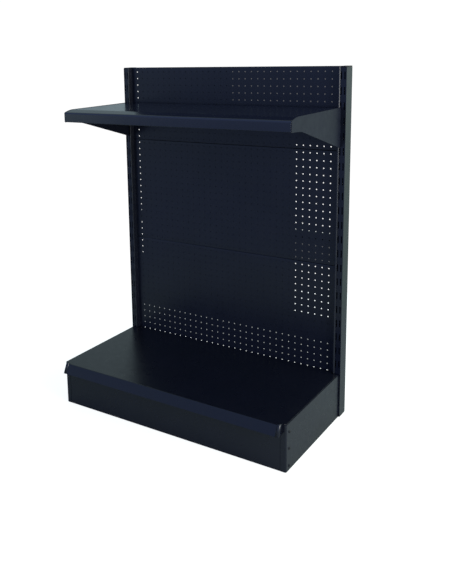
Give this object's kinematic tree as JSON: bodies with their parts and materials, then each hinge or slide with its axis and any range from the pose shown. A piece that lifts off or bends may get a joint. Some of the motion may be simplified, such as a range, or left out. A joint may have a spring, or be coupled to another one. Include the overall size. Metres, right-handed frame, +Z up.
{
  "type": "gondola shelving unit",
  "caption": "Single-sided gondola shelving bay with slotted uprights, folded back panels, a deep base deck with kick plate and a bracketed upper shelf.",
  "frame": {"origin": "centre of the bottom of the bounding box, on the floor", "axes": "+X across the bay to the shopper's right, -Y towards the shopper, +Z up"},
  "size_m": [0.91, 0.5, 1.23],
  "materials": {
    "powder_coat": "satin black powder coat with a navy cast and a fine orange-peel texture",
    "black_plastic": "moulded matt black plastic",
    "zinc_steel": "bright zinc plate",
    "black_screw": "blackened steel"
  },
  "bodies": {
    "frame": {"upright_left": "powder_coat", "base_leg_left": "powder_coat", "upright_cap_left": "black_plastic", "foot_insert_left": "black_plastic", "kick_bracket_left": "zinc_steel", "foot_bracket_left": "zinc_steel", "kick_screw_low_left": "black_screw", "kick_screw_mid_left": "black_screw", "kick_screw_high_left": "black_screw", "upright_right": "powder_coat", "base_leg_right": "powder_coat", "upright_cap_right": "black_plastic", "foot_insert_right": "black_plastic", "kick_bracket_right": "zinc_steel", "foot_bracket_right": "zinc_steel", "kick_screw_low_right": "black_screw", "kick_screw_mid_right": "black_screw", "kick_screw_high_right": "black_screw", "back_panel_lower": "powder_coat", "back_panel_middle": "powder_coat", "back_panel_upper": "powder_coat", "cross_rail_lower": "powder_coat", "cross_rail_middle": "powder_coat", "cross_rail_upper": "powder_coat", "front_rail": "powder_coat"},
    "base_deck": {"base_deck": "powder_coat", "deck_stiffener": "powder_coat"},
    "kick_plate": {"kick_plate": "powder_coat"},
    "upper_shelf": {"upper_shelf": "powder_coat", "shelf_stiffener": "powder_coat"},
    "shelf_bracket_left": {"shelf_bracket_left": "powder_coat"},
    "shelf_bracket_right": {"shelf_bracket_right": "powder_coat"},
    "front_pad_left": {"front_pad_left": "black_plastic"},
    "front_stud_left": {"front_stud_left": "zinc_steel"},
    "rear_pad_left": {"rear_pad_left": "black_plastic"},
    "rear_stud_left": {"rear_stud_left": "zinc_steel"},
    "front_pad_right": {"front_pad_right": "black_plastic"},
    "front_stud_right": {"front_stud_right": "zinc_steel"},
    "rear_pad_right": {"rear_pad_right": "black_plastic"},
    "rear_stud_right": {"rear_stud_right": "zinc_steel"}
  },
  "joints": [
    {"name": "deck_lift", "type": "slide", "parent": "frame", "child": "base_deck", "axis": [0, 0, 1], "range_m": [0, 0.15]},
    {"name": "kick_pull", "type": "slide", "parent": "frame", "child": "kick_plate", "axis": [0, -1, 0], "range_m": [0, 0.12]},
    {"name": "bracket_left_unhook", "type": "slide", "parent": "frame", "child": "shelf_bracket_left", "axis": [0, 0, 1], "range_m": [0, 0.012]},
    {"name": "bracket_right_unhook", "type": "slide", "parent": "frame", "child": "shelf_bracket_right", "axis": [0, 0, 1], "range_m": [0, 0.012]},
    {"name": "shelf_lift", "type": "slide", "parent": "shelf_bracket_left", "child": "upper_shelf", "axis": [0, 0, 1], "range_m": [0, 0.1]},
    {"name": "front_foot_left_travel", "type": "slide", "parent": "frame", "child": "front_pad_left", "axis": [0, 0, -1], "range_m": [0, 0.012]},
    {"name": "front_foot_left_turn", "type": "hinge", "parent": "front_pad_left", "child": "front_stud_left", "pos_m": [-0.43, -0.169, 0.01], "axis": [0, 0, -1], "range_deg": [0, 3457]},
    {"name": "rear_foot_left_travel", "type": "slide", "parent": "frame", "child": "rear_pad_left", "axis": [0, 0, -1], "range_m": [0, 0.012]},
    {"name": "rear_foot_left_turn", "type": "hinge", "parent": "rear_pad_left", "child": "rear_stud_left", "pos_m": [-0.4425, 0.225, 0.01], "axis": [0, 0, -1], "range_deg": [0, 3457]},
    {"name": "front_foot_right_travel", "type": "slide", "parent": "frame", "child": "front_pad_right", "axis": [0, 0, -1], "range_m": [0, 0.012]},
    {"name": "front_foot_right_turn", "type": "hinge", "parent": "front_pad_right", "child": "front_stud_right", "pos_m": [0.43, -0.169, 0.01], "axis": [0, 0, -1], "range_deg": [0, 3457]},
    {"name": "rear_foot_right_travel", "type": "slide", "parent": "frame", "child": "rear_pad_right", "axis": [0, 0, -1], "range_m": [0, 0.012]},
    {"name": "rear_foot_right_turn", "type": "hinge", "parent": "rear_pad_right", "child": "rear_stud_right", "pos_m": [0.4425, 0.225, 0.01], "axis": [0, 0, -1], "range_deg": [0, 3457]}
  ],
  "couplings": [
    {"joint": "bracket_right_unhook", "follows": "bracket_left_unhook", "ratio": 1},
    {"joint": "front_foot_left_turn", "follows": "front_foot_left_travel", "rad_per_m": 5026.5},
    {"joint": "rear_foot_left_turn", "follows": "rear_foot_left_travel", "rad_per_m": 5026.5},
    {"joint": "front_foot_right_turn", "follows": "front_foot_right_travel", "rad_per_m": 5026.5},
    {"joint": "rear_foot_right_turn", "follows": "rear_foot_right_travel", "rad_per_m": 5026.5}
  ]
}
